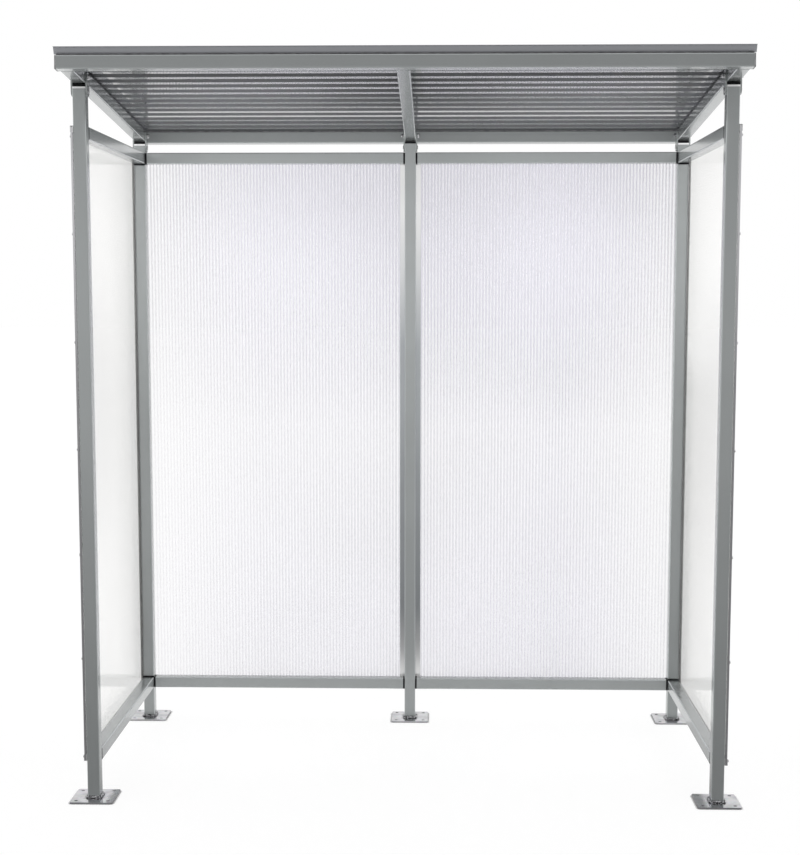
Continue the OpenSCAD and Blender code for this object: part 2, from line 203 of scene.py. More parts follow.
class Finish:
    """One material on a Principled shader, with textures placed by Object coordinates."""

    def __init__(self, name):
        self.material = bpy.data.materials.new(name)
        self.material.use_nodes = True
        self.tree = self.material.node_tree
        self.tree.nodes.clear()
        self.surface = self.add("ShaderNodeBsdfPrincipled")
        self.sink = self.add("ShaderNodeOutputMaterial", {"Surface": self.surface.outputs["BSDF"]})
        given = self.add("ShaderNodeTexCoord").outputs
        self.place = given["Object"]
        self.facing = given["Normal"]

    def add(self, kind, inputs=None, **settings):
        return add_node(self.tree, kind, inputs, **settings)

    def set(self, **values):
        """Sets or links inputs of the shader, named with underscores for spaces."""
        for key, value in values.items():
            socket = self.surface.inputs[key.replace("_", " ")]
            if isinstance(value, bpy.types.NodeSocket):
                self.tree.links.new(value, socket)
            else:
                socket.default_value = value

    def stretched(self, scale):
        """Object coordinates scaled along each axis."""
        return self.add("ShaderNodeMapping", {"Vector": self.place, "Scale": scale}).outputs["Vector"]

    def noise(self, scale, detail=2.0, place=None, roughness=0.5):
        made = self.add("ShaderNodeTexNoise", {
            "Vector": place or self.place, "Scale": scale, "Detail": detail, "Roughness": roughness})
        return made.outputs["Fac"]

    def cells(self, scale):
        """Cells, each of its own colour."""
        return self.add("ShaderNodeTexVoronoi", {"Vector": self.place, "Scale": scale}).outputs["Color"]

    def span(self, value, low, high, to_low, to_high):
        """Maps a value from one range to another and holds it there."""
        made = self.add("ShaderNodeMapRange", {
            "Value": value, "From Min": low, "From Max": high, "To Min": to_low, "To Max": to_high})
        return made.outputs["Result"]

    def math(self, operation, first, second=0.0, third=0.0):
        made = self.add("ShaderNodeMath", {0: first, 1: second, 2: third}, operation=operation)
        return made.outputs["Value"]

    def times(self, first, second):
        return self.math("MULTIPLY", first, second)

    def size(self, value):
        return self.math("ABSOLUTE", value)

    def axis(self, name):
        """One of the Object coordinates X, Y and Z."""
        return self.add("ShaderNodeSeparateXYZ", {"Vector": self.place}).outputs[name]

    def bends(self):
        """One on rounded corners of a tube and nothing on its flat faces."""
        parts = self.add("ShaderNodeSeparateXYZ", {"Vector": self.facing}).outputs
        flat = self.math("MAXIMUM", self.size(parts["X"]), self.size(parts["Y"]))
        flat = self.math("MAXIMUM", flat, self.size(parts["Z"]))
        return self.span(flat, 0.78, 0.97, 1.0, 0.0)

    def mix(self, factor, first, second, blend="MIX"):
        made = self.add("ShaderNodeMix", data_type="RGBA", blend_type=blend)
        for index, value in ((0, factor), (6, first), (7, second)):
            if isinstance(value, bpy.types.NodeSocket):
                self.tree.links.new(value, made.inputs[index])
            else:
                made.inputs[index].default_value = value
        return made.outputs[2]

    def mottled(self, texture, base, first, second):
        """A colour that a texture takes from one tint to another."""
        return self.mix(self.span(texture, 0.3, 0.7, 0.0, 1.0), tint(base, first), tint(base, second))

    def grey(self, value):
        """A value as a grey colour."""
        made = self.add("ShaderNodeCombineColor", {"Red": value, "Green": value, "Blue": value})
        return made.outputs["Color"]

    def bump(self, height, strength, distance):
        made = self.add("ShaderNodeBump", {"Height": height, "Strength": strength, "Distance": distance})
        self.set(Normal=made.outputs["Normal"])


def tint(base, factor):
    """A linear colour with alpha, made lighter or darker."""
    return tuple(min(1.0, part * factor) for part in base) + (1.0,)


def cover(names, finish):
    """Gives CAD nodes a finish through their material slots."""
    for name in names:
        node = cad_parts[name]
        for slot in node.material_slots:
            slot.material = finish.material


# Finishes

def frame_paint(settings, name):
    """Glossy silver-grey paint with metal flake, cloudy patches, a few scuffs and a painted highlight on the
    rounded corners, and its colour's socket.
    """
    finish = Finish(name)
    clouds = finish.noise(3.5, 3.0)
    flake = finish.noise(850.0, 1.0)
    base = finish.mottled(clouds, settings.paint, 0.97, 1.03)
    base = finish.mix(0.5, base, finish.grey(finish.span(flake, 0.3, 0.7, 0.90, 1.06)), "MULTIPLY")
    scuffs = finish.noise(1.0, 4.0, finish.stretched((60.0, 40.0, 30.0)), 0.7)
    base = finish.mix(finish.span(scuffs, 0.74, 0.80, 0.0, 0.35), base, tint(settings.paint, 1.5))
    # Painted highlight: the rounded corners of the tubes are painted lighter.
    base = finish.mix(finish.times(finish.bends(), 0.8), base, tint(settings.paint, 1.7))
    finish.set(
        Base_Color=base,
        Metallic=settings.paint_metal,
        Roughness=finish.span(
            finish.noise(8.0, 2.0), 0.3, 0.7,
            settings.paint_roughness - 0.02, settings.paint_roughness + 0.02),
        Coat_Weight=0.35,
        Coat_Roughness=0.06,
        Specular_IOR_Level=0.3)
    finish.bump(finish.noise(420.0, 1.0), 0.02, 0.0004)
    return finish, base


def post_paint(settings, front_top, back_top):
    """The same paint with a painted highlight along the top ends of the corner posts."""
    finish, base = frame_paint(settings, "post_paint")
    # Painted highlight: a pale band without metal at the top of each outer corner post.
    top = finish.span(finish.axis("Y"), -0.01, 0.01, front_top, back_top)
    below = finish.math("SUBTRACT", top, finish.axis("Z"))
    near_top = finish.span(below, settings.post_highlight, settings.post_highlight + 0.001, 1.0, 0.0)
    rim = finish.times(near_top, finish.span(finish.size(finish.axis("X")), 0.4, 0.5, 0.0, 1.0))
    finish.set(
        Base_Color=finish.mix(rim, base, (0.95, 0.95, 0.95, 1.0)),
        Metallic=finish.span(rim, 0.0, 1.0, settings.paint_metal, 0.0))
    return finish


def panel_plastic(settings, axis, middle, half, plastic, cover_share, back_post_face):
    """Clear twin-wall plastic with milky upright webs, haze and polished cut edges,
    whose colour is painted lighter towards the top as painted reflection.

    The back panels carry painted shade: they stop more light at the top, the bottom and the right,
    less towards their outer ends, and darken towards the top. The side panels have a painted dark
    line at the back posts, standing in for the posts' shadow and reflection, and weaker gloss at
    the top on the right.
    """
    finish = Finish("panel_plastic_" + axis.lower())
    rise = finish.axis("Z")
    across = finish.axis(axis)
    if axis == "X":
        across = finish.size(across)
    off = finish.math("SUBTRACT", across, middle)
    turns = finish.times(off, 2.0 * math.pi / settings.flute_pitch)
    web = finish.span(finish.math("COSINE", turns), -0.4, 1.0, 0.0, 1.0)
    web = finish.times(web, finish.span(rise, 0.2, 1.9, 0.4, 1.0))
    inside = half - settings.cut_edge_width
    edge = finish.span(finish.size(off), inside - 0.0005, inside, 0.0, 1.0)
    # Painted reflection: the cut edges are painted lighter towards the top.
    rim = finish.mix(
        finish.span(rise, 1.3, 1.9, 0.0, 1.0), tint(settings.cut_edge, 1.0), tint(settings.cut_edge, 2.2))
    haze = finish.span(finish.noise(1.6, 1.0), 0.35, 0.65, 0.0, 1.0)
    base = finish.mix(haze, tint(plastic, 0.95), tint(plastic, 1.02))
    base = finish.mix(finish.times(web, 0.5), base, tint(plastic, 0.7))
    stop = finish.span(web, 0.0, 1.0, cover_share, settings.web_cover)
    # Painted shade on the back panels: more light stopped at the top, the bottom and the right, less towards
    # the outer ends, and a colour that darkens towards the top.
    if axis == "X":
        stop = finish.times(stop, finish.span(across, 0.55, 0.92, 1.0, 0.35))
        stop = finish.times(stop, finish.span(finish.axis("X"), -0.6, 0.6, 0.95, 1.6))
        stop = finish.times(stop, finish.span(rise, 1.1, 1.9, 1.0, 2.6))
        stop = finish.times(stop, finish.span(rise, 0.4, 1.0, 1.6, 1.0))
        base = finish.mix(finish.span(rise, 1.1, 1.9, 0.0, 1.0), base, tint(plastic, 0.78))
    glance = finish.add("ShaderNodeLayerWeight", {"Blend": 0.5}).outputs["Facing"]
    gloss = finish.times(finish.math("POWER", glance, 5.0), settings.panel_gloss)
    if axis == "Y":
        # Painted shade and reflection: a dark line on the side panels along the front face of each back post.
        from_post_face = finish.size(finish.math("SUBTRACT", across, back_post_face))
        line = finish.span(from_post_face, 0.004, 0.008, 0.85, 0.0)
        base = finish.mix(line, base, (0.03, 0.03, 0.03, 1.0))
        stop = finish.math("MAXIMUM", finish.times(stop, 0.25), line)
        # Weaker gloss at the top of the right side panel.
        upper = finish.span(rise, 1.25, 1.40, 0.0, 0.6)
        clear = finish.times(upper, finish.span(finish.axis("X"), -0.5, 0.5, 0.0, 1.0))
        gloss = finish.times(gloss, finish.math("SUBTRACT", 1.0, clear))
    stop = finish.math("MAXIMUM", stop, edge)
    alpha = finish.math("MINIMUM", finish.math("ADD", stop, gloss), 1.0)
    mirror = finish.math("DIVIDE", gloss, finish.math("MAXIMUM", alpha, 0.001))
    finish.set(
        Base_Color=finish.mix(edge, base, rim),
        Metallic=finish.math("MAXIMUM", mirror, finish.times(edge, 0.4)),
        Roughness=0.06,
        IOR=1.58,
        Alpha=alpha)
    finish.bump(finish.math("COSINE", turns), 1.0, 0.0001)
    return finish


def plate_zinc(settings, lattice):
    """Bright zinc with crystals, matt patches and dark blotches round the welded foot."""
    finish = Finish("plate_zinc")
    first_x, step_x, first_y, step_y = lattice
    off_x = finish.math("WRAP", finish.math("SUBTRACT", finish.axis("X"), first_x), step_x / 2, -step_x / 2)
    off_y = finish.math("WRAP", finish.math("SUBTRACT", finish.axis("Y"), first_y), step_y / 2, -step_y / 2)
    reach = finish.math("MAXIMUM", finish.size(off_x), finish.size(off_y))
    crystals = finish.cells(85.0)
    patches = finish.noise(22.0, 3.0)
    darkening = finish.span(patches, 0.40, 0.66, 0.0, 1.0)
    base = finish.mix(darkening, tint(settings.zinc, 1.06), tint(settings.zinc, 0.80))
    base = finish.mix(0.08, base, crystals, "SOFT_LIGHT")
    # Darker in blotches within a few centimetres of each post's middle.
    foot_blotches = finish.span(finish.noise(120.0, 3.0), 0.3, 0.7, 0.1, 0.9)
    dark_round_foot = finish.times(finish.span(reach, 0.022, 0.034, 1.0, 0.0), foot_blotches)
    base = finish.mix(dark_round_foot, base, (0.10, 0.10, 0.10, 1.0))
    finish.set(
        Base_Color=base,
        Metallic=1.0,
        Roughness=finish.span(patches, 0.35, 0.65, 0.10, 0.22))
    finish.bump(finish.noise(140.0, 2.0), 0.05, 0.001)
    return finish


def black_plastic(name, base, grain, roughness):
    """Dark moulded plastic or foam with a fine grain."""
    finish = Finish(name)
    finish.set(
        Base_Color=finish.mottled(finish.noise(60.0, 3.0), base, 0.8, 1.7),
        Roughness=finish.span(finish.noise(grain, 2.0), 0.3, 0.7, roughness - 0.08, roughness + 0.10),
        Specular_IOR_Level=0.12)
    finish.bump(finish.noise(grain, 2.0), 0.25, 0.0005)
    return finish


def trim_aluminium(settings):
    """Mill-finished aluminium with fine drawn lines along its length, darker from about 0.2 m to 1.9 m up as
    painted dark reflection.
    """
    finish = Finish("trim_aluminium")
    lines = finish.noise(1.0, 3.0, finish.stretched((900.0, 900.0, 6.0)))
    clouds = finish.noise(5.0, 3.0)
    base = finish.mottled(clouds, settings.aluminium, 0.94, 1.04)
    rise = finish.axis("Z")
    # Painted dark reflection: darker between about 0.2 m and 1.9 m up.
    darkening = finish.times(finish.span(rise, 0.18, 0.42, 0.0, 0.8), finish.span(rise, 1.40, 1.9, 1.0, 0.0))
    base = finish.mix(darkening, base, tint(settings.aluminium_dark_reflection, 1.0))
    finish.set(
        Base_Color=base,
        Metallic=0.65,
        Roughness=finish.span(lines, 0.3, 0.7, 0.07, 0.14))
    finish.bump(lines, 0.05, 0.0004)
    return finish


def sheet_metal(settings, front):
    """Coated steel sheet with spangle, run-off marks, hollow flats, a fine grain and a front band painted
    paler as painted light.
    """
    finish = Finish("sheet_metal")
    spangle = finish.cells(40.0)
    marks = finish.noise(1.0, 3.0, finish.stretched((5.0, 1.0, 2.0)))
    base = finish.mottled(marks, settings.sheet, 1.03, 0.94)
    base = finish.mix(0.03, base, spangle, "SOFT_LIGHT")
    # Painted light: the first flank behind the front edge is painted paler.
    painted_light_band = finish.span(finish.axis("Y"), front + 0.022, front + 0.028, 1.0, 0.0)
    base = finish.mix(painted_light_band, base, tint(settings.sheet, 3.0))
    finish.set(
        Base_Color=base,
        Metallic=0.30,
        Coat_Weight=1.0,
        Coat_Roughness=0.045,
        Roughness=finish.span(finish.noise(6.0, 2.0), 0.3, 0.7, 0.20, 0.26))
    turns = finish.times(finish.axis("Y"), 4.0 * math.pi / settings.sheet_pitch)
    grain = finish.times(finish.noise(1.0, 1.0, finish.stretched((1500.0, 3.0, 3.0))), 0.03)
    finish.bump(finish.math("ADD", finish.math("COSINE", turns), grain), 1.0, 0.0003)
    return finish


def fastener_zinc(settings):
    """Plated steel with tool marks and small dull spots."""
    finish = Finish("fastener_zinc")
    spots = finish.noise(420.0, 3.0)
    finish.set(
        Base_Color=finish.mix(
            finish.span(spots, 0.45, 0.65, 0.0, 1.0),
            tint(settings.fastener, 1.1), tint(settings.fastener, 0.6)),
        Metallic=1.0,
        Roughness=finish.span(spots, 0.3, 0.7, 0.12, 0.30))
    finish.bump(finish.noise(900.0, 2.0), 0.10, 0.0003)
    return finish


def weld_metal(settings):
    """Weld metal with painted glints and painted shade in random spots."""
    finish = Finish("weld_metal")
    glint_and_shade_noise = finish.noise(260.0, 3.0)
    # Painted glints and painted shade: the colour jumps between near black and bright by noise.
    finish.set(
        Base_Color=finish.mix(
            finish.span(glint_and_shade_noise, 0.45, 0.62, 0.0, 1.0), tint(settings.weld, 0.25), tint(settings.weld, 4.5)),
        Metallic=0.8,
        Roughness=finish.span(glint_and_shade_noise, 0.3, 0.7, 0.40, 0.18))
    finish.bump(finish.noise(500.0, 3.0), 0.5, 0.001)
    return finish


# Geometry Nodes for pieces that repeat

def open_tree(name, inputs):
    """Starts a Geometry Nodes tree with named inputs and returns it with its group input."""
    tree = bpy.data.node_groups.new(name, "GeometryNodeTree")
    tree.interface.new_socket("Geometry", in_out="INPUT", socket_type="NodeSocketGeometry")
    for label, kind in inputs:
        tree.interface.new_socket(label, in_out="INPUT", socket_type=kind)
    tree.interface.new_socket("Geometry", in_out="OUTPUT", socket_type="NodeSocketGeometry")
    return tree, tree.nodes.new("NodeGroupInput").outputs


def close_tree(tree, geometry, material):
    """Ends a tree: instances become mesh and take their material."""
    real = add_node(tree, "GeometryNodeRealizeInstances", {"Geometry": geometry})
    dressed = add_node(tree, "GeometryNodeSetMaterial", {
        "Geometry": real.outputs["Geometry"], "Material": material})
    add_node(tree, "NodeGroupOutput", {"Geometry": dressed.outputs["Geometry"]})
    return tree


def raised(tree, mesh, height):
    """A mesh moved up its own axis."""
    lift = add_node(tree, "ShaderNodeCombineXYZ", {"Z": height})
    moved = add_node(tree, "GeometryNodeTransform", {"Geometry": mesh, "Translation": lift.outputs["Vector"]})
    return moved.outputs["Geometry"]


def calc(tree, operation, first, second=0.0):
    return add_node(tree, "ShaderNodeMath", {0: first, 1: second}, operation=operation).outputs["Value"]


def fastener_tree():
    """A head on a washer at every point, along the point's aim, each turned at random."""
    tree, given = open_tree("Fasteners", (
        ("Head Sides", "NodeSocketInt"),
        ("Head Width", "NodeSocketFloat"), ("Head Height", "NodeSocketFloat"),
        ("Washer Width", "NodeSocketFloat"), ("Washer Height", "NodeSocketFloat"),
        ("Shank Width", "NodeSocketFloat"), ("Shank Tip", "NodeSocketFloat"),
        ("Seed", "NodeSocketInt"), ("Material", "NodeSocketMaterial")))
    washer = add_node(tree, "GeometryNodeMeshCylinder", {
        "Vertices": 28, "Radius": calc(tree, "MULTIPLY", given["Washer Width"], 0.5),
        "Depth": given["Washer Height"]})
    washer = raised(tree, washer.outputs["Mesh"], calc(tree, "MULTIPLY", given["Washer Height"], 0.5))
    head_radius = calc(tree, "MULTIPLY", given["Head Width"], 0.5)
    side_height = calc(tree, "MULTIPLY", given["Head Height"], 0.78)
    side = add_node(tree, "GeometryNodeMeshCylinder", {
        "Vertices": given["Head Sides"], "Radius": head_radius, "Depth": side_height})
    side = raised(tree, side.outputs["Mesh"], calc(
        tree, "ADD", given["Washer Height"], calc(tree, "MULTIPLY", side_height, 0.5)))
    top = add_node(tree, "GeometryNodeMeshCone", {
        "Vertices": given["Head Sides"], "Radius Bottom": head_radius,
        "Radius Top": calc(tree, "MULTIPLY", head_radius, 0.80),
        "Depth": calc(tree, "SUBTRACT", given["Head Height"], side_height)})
    top = raised(tree, top.outputs["Mesh"], calc(tree, "ADD", given["Washer Height"], side_height))
    tip_length = calc(tree, "ADD", given["Head Height"], given["Shank Tip"])
    tip = add_node(tree, "GeometryNodeMeshCylinder", {
        "Vertices": 20, "Radius": calc(tree, "MULTIPLY", given["Shank Width"], 0.5), "Depth": tip_length})
    tip = raised(tree, tip.outputs["Mesh"], calc(
        tree, "ADD", given["Washer Height"], calc(tree, "MULTIPLY", tip_length, 0.5)))
    whole = add_node(tree, "GeometryNodeJoinGeometry")
    for mesh in (washer, side, top, tip):
        tree.links.new(mesh, whole.inputs["Geometry"])
    aim = add_node(tree, "GeometryNodeInputNamedAttribute", {"Name": "aim"}, data_type="FLOAT_VECTOR")
    facing = add_node(
        tree, "FunctionNodeAlignRotationToVector", {"Vector": aim.outputs["Attribute"]}, axis="Z")
    turn = add_node(tree, "FunctionNodeRandomValue", {"Seed": given["Seed"]}, data_type="FLOAT")
    turn.inputs[3].default_value = 2.0 * math.pi
    about = add_node(tree, "FunctionNodeAxisAngleToRotation", {
        "Axis": (0.0, 0.0, 1.0), "Angle": turn.outputs[1]})
    rotation = add_node(tree, "FunctionNodeRotateRotation", {
        "Rotation": facing.outputs["Rotation"],
        "Rotate By": about.outputs["Rotation"]}, rotation_space="LOCAL")
    placed = add_node(tree, "GeometryNodeInstanceOnPoints", {
        "Points": given["Geometry"], "Instance": whole.outputs["Geometry"],
        "Rotation": rotation.outputs["Rotation"]})
    return close_tree(tree, placed.outputs["Instances"], given["Material"])


def bead_tree():
    """A rippled bead along every edge path of a mesh."""
    tree, given = open_tree("Weld beads", (
        ("Bead Radius", "NodeSocketFloat"), ("Ripple Height", "NodeSocketFloat"), ("Step", "NodeSocketFloat"),
        ("Material", "NodeSocketMaterial")))
    path = add_node(tree, "GeometryNodeMeshToCurve", {"Mesh": given["Geometry"]})
    fine = add_node(tree, "GeometryNodeResampleCurve", {
        "Curve": path.outputs["Curve"], "Length": given["Step"]}, mode="LENGTH")
    ring = add_node(tree, "GeometryNodeCurvePrimitiveCircle", {
        "Resolution": 14, "Radius": given["Bead Radius"]})
    solid = add_node(tree, "GeometryNodeCurveToMesh", {
        "Curve": fine.outputs["Curve"], "Profile Curve": ring.outputs["Curve"], "Fill Caps": True})
    coarse = add_node(tree, "ShaderNodeTexNoise", {"Scale": 130.0, "Detail": 2.0})
    swing = calc(tree, "MULTIPLY", calc(tree, "SUBTRACT", coarse.outputs["Fac"], 0.5), 3.2)
    push = calc(tree, "MULTIPLY", swing, given["Ripple Height"])
    normal = add_node(tree, "GeometryNodeInputNormal")
    offset = add_node(
        tree, "ShaderNodeVectorMath", {0: normal.outputs["Normal"], "Scale": push}, operation="SCALE")
    rough = add_node(tree, "GeometryNodeSetPosition", {
        "Geometry": solid.outputs["Mesh"], "Offset": offset.outputs["Vector"]})
    return close_tree(tree, rough.outputs["Geometry"], given["Material"])


def grow(name, vertices, edges, tree, values, aims=None):
    """Builds one piece from points or paths with a tree, as a plain mesh that rides the root body."""
    mesh = bpy.data.meshes.new(name)
    mesh.from_pydata(vertices, edges, [])
    if aims:
        kept = mesh.attributes.new("aim", "FLOAT_VECTOR", "POINT")
        for item, aim in zip(kept.data, aims):
            item.vector = aim
    piece = bpy.data.objects.new(name, mesh)
    bpy.context.scene.collection.objects.link(piece)
    modifier = piece.modifiers.new("grow", "NODES")
    modifier.node_group = tree
    for item in tree.interface.items_tree:
        if item.in_out == "INPUT" and item.name in values:
            modifier[item.identifier] = values[item.name]
    drawn = piece.evaluated_get(bpy.context.evaluated_depsgraph_get())
    solid = bpy.data.meshes.new_from_object(drawn)
    piece.modifiers.clear()
    piece.data = solid
    if not solid.polygons:
        raise RuntimeError(name + " came out empty")
    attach(piece, "root")
    return piece


def kept_finish(name, build, *arguments):
    """A finish's material, built once."""
    return bpy.data.materials.get(name) or build(*arguments).material


# Operators

class SHELTER_OT_frame_finish(bpy.types.Operator):
    """Paint the tubes and ear plates"""
    bl_idname = "shelter.frame_finish"
    bl_label = "Frame finish"

    def execute(self, context):
        settings = context.scene.shelter_finish
        ears = [corner + "_ear_plates" for corner in CORNERS]
        cover([*ears, *RAILS, *ROOF_TUBES], frame_paint(settings, "frame_paint")[0])
        tops = [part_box(name)[1].z for name in ("left_front_post", "left_back_post")]
        cover([corner + "_post" for corner in CORNERS], post_paint(settings, *tops))
        return {"FINISHED"}


class SHELTER_OT_panel_finish(bpy.types.Operator):
    """Give the panels their plastic and their edges their aluminium"""
    bl_idname = "shelter.panel_finish"
    bl_label = "Panel finish"

    def execute(self, context):
        settings = context.scene.shelter_finish
        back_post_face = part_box("right_back_post")[0].y
        low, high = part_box("right_back_panel")
        back = panel_plastic(
            settings, "X", (low.x + high.x) / 2, (high.x - low.x) / 2,
            settings.back_panel, settings.back_cover, back_post_face)
        low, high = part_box("right_side_panel")
        side = panel_plastic(
            settings, "Y", (low.y + high.y) / 2, (high.y - low.y) / 2,
            settings.side_panel, settings.side_cover, back_post_face)
        cover(BACK_PANELS, back)
        cover(SIDE_PANELS, side)
        cover([*CHANNELS, "panel_joiner"], trim_aluminium(settings))
        return {"FINISHED"}


class SHELTER_OT_plate_finish(bpy.types.Operator):
    """Give the base plates their zinc"""
    bl_idname = "shelter.plate_finish"
    bl_label = "Base plate finish"

    def execute(self, context):
        front_low, front_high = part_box("left_front_post")
        back_low, back_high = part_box("middle_back_post")
        front = (front_low + front_high) / 2
        back = (back_low + back_high) / 2
        lattice = (front.x, back.x - front.x, front.y, back.y - front.y)
        plates = [corner + "_base_plate" for corner in CORNERS]
        cover(plates, plate_zinc(context.scene.shelter_finish, lattice))
        return {"FINISHED"}


class SHELTER_OT_cap_finish(bpy.types.Operator):
    """Give the tube caps and the bedding strips their black plastic and foam"""
    bl_idname = "shelter.cap_finish"
    bl_label = "Cap finish"

    def execute(self, context):
        settings = context.scene.shelter_finish
        cover(["post_caps", "rail_end_caps"], black_plastic("cap_plastic", settings.plastic, 700.0, 0.42))
        cover(["beam_end_caps"], black_plastic("beam_cap_plastic", settings.beam_plastic, 700.0, 0.40))
        cover(["roof_bedding_strips"], black_plastic("bedding_foam", settings.foam, 260.0, 0.75))
        return {"FINISHED"}


class SHELTER_OT_roof_finish(bpy.types.Operator):
    """Give the corrugated sheet its coating"""
    bl_idname = "shelter.roof_finish"
    bl_label = "Roof finish"

    def execute(self, context):
        cover(["roof_sheet"], sheet_metal(context.scene.shelter_finish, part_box("roof_sheet")[0].y))
        return {"FINISHED"}


class SHELTER_OT_ear_bolts(bpy.types.Operator):
    """Add a bolt and nut with washers at the top of every pair of ear plates, and low pins below"""
    bl_idname = "shelter.ear_bolts"
    bl_label = "Ear bolts"

    def execute(self, context):
        settings = context.scene.shelter_fixings
        heads = []
        nuts = []
        pins = []
        for corner in CORNERS:
            low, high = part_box(corner + "_ear_plates")
            y = (low.y + high.y) / 2
            round_end = (high.y - low.y) / 2
            heads.append((high.x, y, high.z - round_end))
            nuts.append((low.x, y, high.z - round_end))
            pins += [(high.x, y, low.z + round_end), (low.x, y, low.z + round_end)]
        tree = fastener_tree()
        values = {
            "Head Sides": 6, "Head Width": settings.bolt_width, "Head Height": settings.bolt_height,
            "Washer Width": settings.bolt_washer, "Washer Height": settings.bolt_washer_height,
            "Shank Width": settings.bolt_shank, "Shank Tip": -settings.shank_sink, "Seed": 4,
            "Material": kept_finish("fastener_zinc", fastener_zinc, context.scene.shelter_finish)}
        right = (1.0, 0.0, 0.0)
        left = (-1.0, 0.0, 0.0)
        grow("ear_bolt_heads", heads, [], tree, values, [right] * len(heads))
        values.update({"Shank Tip": settings.bolt_end, "Seed": 9})
        grow("ear_bolt_nuts", nuts, [], tree, values, [left] * len(nuts))
        values.update({
            "Head Sides": 24, "Head Width": settings.pin_width, "Head Height": settings.pin_height,
            "Washer Width": settings.pin_width, "Washer Height": settings.pin_rim,
            "Shank Tip": -settings.shank_sink})
        grow("ear_pins", pins, [], tree, values, [right, left] * len(CORNERS))
        return {"FINISHED"}


class SHELTER_OT_panel_screws(bpy.types.Operator):
    """Add screws with washers along the upright edges of the panels"""
    bl_idname = "shelter.panel_screws"
    bl_label = "Panel screws"

    def heights(self, settings):
        """Heights of one row: even steps from the lowest screw, and an end screw below the top channel."""
        steps = [settings.screw_first + settings.screw_spacing * step for step in range(5)]
        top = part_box("right_side_panel")[1].z
        return steps + [top - settings.panel_hold - settings.screw_margin]

    def execute(self, context):
        settings = context.scene.shelter_fixings
        points = []
        aims = []
        panel_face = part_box("right_side_panel")[1].x
        rear_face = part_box("right_back_panel")[1].y
        joiner_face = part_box("panel_joiner")[1].y
        channel_low, channel_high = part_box("right_side_channels")
        front_low, front_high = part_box("right_front_post")
        back_low, back_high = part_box("right_back_post")
        rows = self.heights(settings)
        foot = channel_low.z + settings.screw_margin
        for side in (-1.0, 1.0):
            for y in ((front_low.y + front_high.y) / 2, (back_low.y + back_high.y) / 2):
                points += [(side * panel_face, y, z) for z in rows] + [(side * channel_high.x, y, foot)]
                aims += [(side, 0.0, 0.0)] * (len(rows) + 1)
            x = side * (back_low.x + back_high.x) / 2
            points += [(x, rear_face, z) for z in rows] + [(x, joiner_face, foot)]
            aims += [(0.0, 1.0, 0.0)] * (len(rows) + 1)
        points += [(0.0, joiner_face, z) for z in rows + [foot]]
        aims += [(0.0, 1.0, 0.0)] * (len(rows) + 1)
        values = {
            "Head Sides": 6, "Head Width": settings.screw_width, "Head Height": settings.screw_height,
            "Washer Width": settings.screw_washer, "Washer Height": settings.screw_washer_height,
            "Shank Width": settings.screw_shank, "Shank Tip": -settings.shank_sink, "Seed": 21,
            "Material": kept_finish("fastener_zinc", fastener_zinc, context.scene.shelter_finish)}
        grow("panel_screws", points, [], fastener_tree(), values, aims)
        return {"FINISHED"}


class SHELTER_OT_roof_screws(bpy.types.Operator):
    """Add screws with washers in the valleys of the sheet, over the beams and rafters"""
    bl_idname = "shelter.roof_screws"
    bl_label = "Roof screws"

    def valleys(self, settings):
        """Upper faces of the valleys between the ridges, and the way that the sheet faces."""
        fall = settings.roof_fall
        along = Vector((0.0, math.cos(fall), -math.sin(fall)))
        up = Vector((0.0, math.sin(fall), math.cos(fall)))
        sheet = [vertex.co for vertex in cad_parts["roof_sheet"].data.vertices]
        bottom = min(point.dot(up) for point in sheet)
        runs = sorted({round(point.dot(along), 4) for point in sheet if point.dot(up) < bottom + 0.0001})
        middles = [(first + second) / 2 for first, second in zip(runs[::2], runs[1::2])]
        return [along * run + up * (bottom + settings.sheet_thickness) for run in middles], up

    def execute(self, context):
        settings = context.scene.shelter_fixings
        valleys, up = self.valleys(settings)
        low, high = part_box("roof_sheet")
        first = low.x + settings.roof_margin
        step = (high.x - settings.roof_margin - first) / settings.roof_steps
        over_beam = [first + step * index for index in range(settings.roof_steps + 1)]
        over_rafters = [sum(corner.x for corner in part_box(name)) / 2 for name in ROOF_TUBES[2:]]
        points = []
        for index, valley in enumerate(valleys):
            places = []
            if index in (0, len(valleys) - 1):
                places = over_beam
            elif index % 3 == 0:
                places = over_rafters
            points += [(x, valley.y, valley.z) for x in places]
        values = {
            "Head Sides": 6, "Head Width": settings.screw_width, "Head Height": settings.screw_height,
            "Washer Width": settings.roof_washer, "Washer Height": settings.roof_washer_height,
            "Shank Width": settings.screw_shank, "Shank Tip": -settings.shank_sink, "Seed": 33,
            "Material": kept_finish("fastener_zinc", fastener_zinc, context.scene.shelter_finish)}
        grow("roof_screws", points, [], fastener_tree(), values, [tuple(up)] * len(points))
        return {"FINISHED"}


class SHELTER_OT_foot_welds(bpy.types.Operator):
    """Add a weld bead round the foot of every post"""
    bl_idname = "shelter.foot_welds"
    bl_label = "Foot welds"

    def execute(self, context):
        settings = context.scene.shelter_welds
        vertices = []
        edges = []
        for corner in CORNERS:
            low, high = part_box(corner + "_post")
            middle = (low + high) / 2
            half = (high.x - low.x) / 2 + settings.bead * 0.25
            turn = settings.turn
            first = len(vertices)
            for quarter in range(4):
                for step in range(5):
                    angle = math.radians(90.0 * quarter + 22.5 * step)
                    x = (half - turn) * (1 if quarter in (0, 3) else -1) + turn * math.cos(angle)
                    y = (half - turn) * (1 if quarter in (0, 1) else -1) + turn * math.sin(angle)
                    vertices.append((middle.x + x, middle.y + y, low.z + settings.bead * 0.35))
            last = len(vertices)
            edges += [(index, index + 1) for index in range(first, last - 1)] + [(last - 1, first)]
        values = {
            "Bead Radius": settings.bead, "Ripple Height": settings.ripple, "Step": settings.step,
            "Material": kept_finish("weld_metal", weld_metal, context.scene.shelter_finish)}
        grow("foot_welds", vertices, edges, bead_tree(), values)
        return {"FINISHED"}


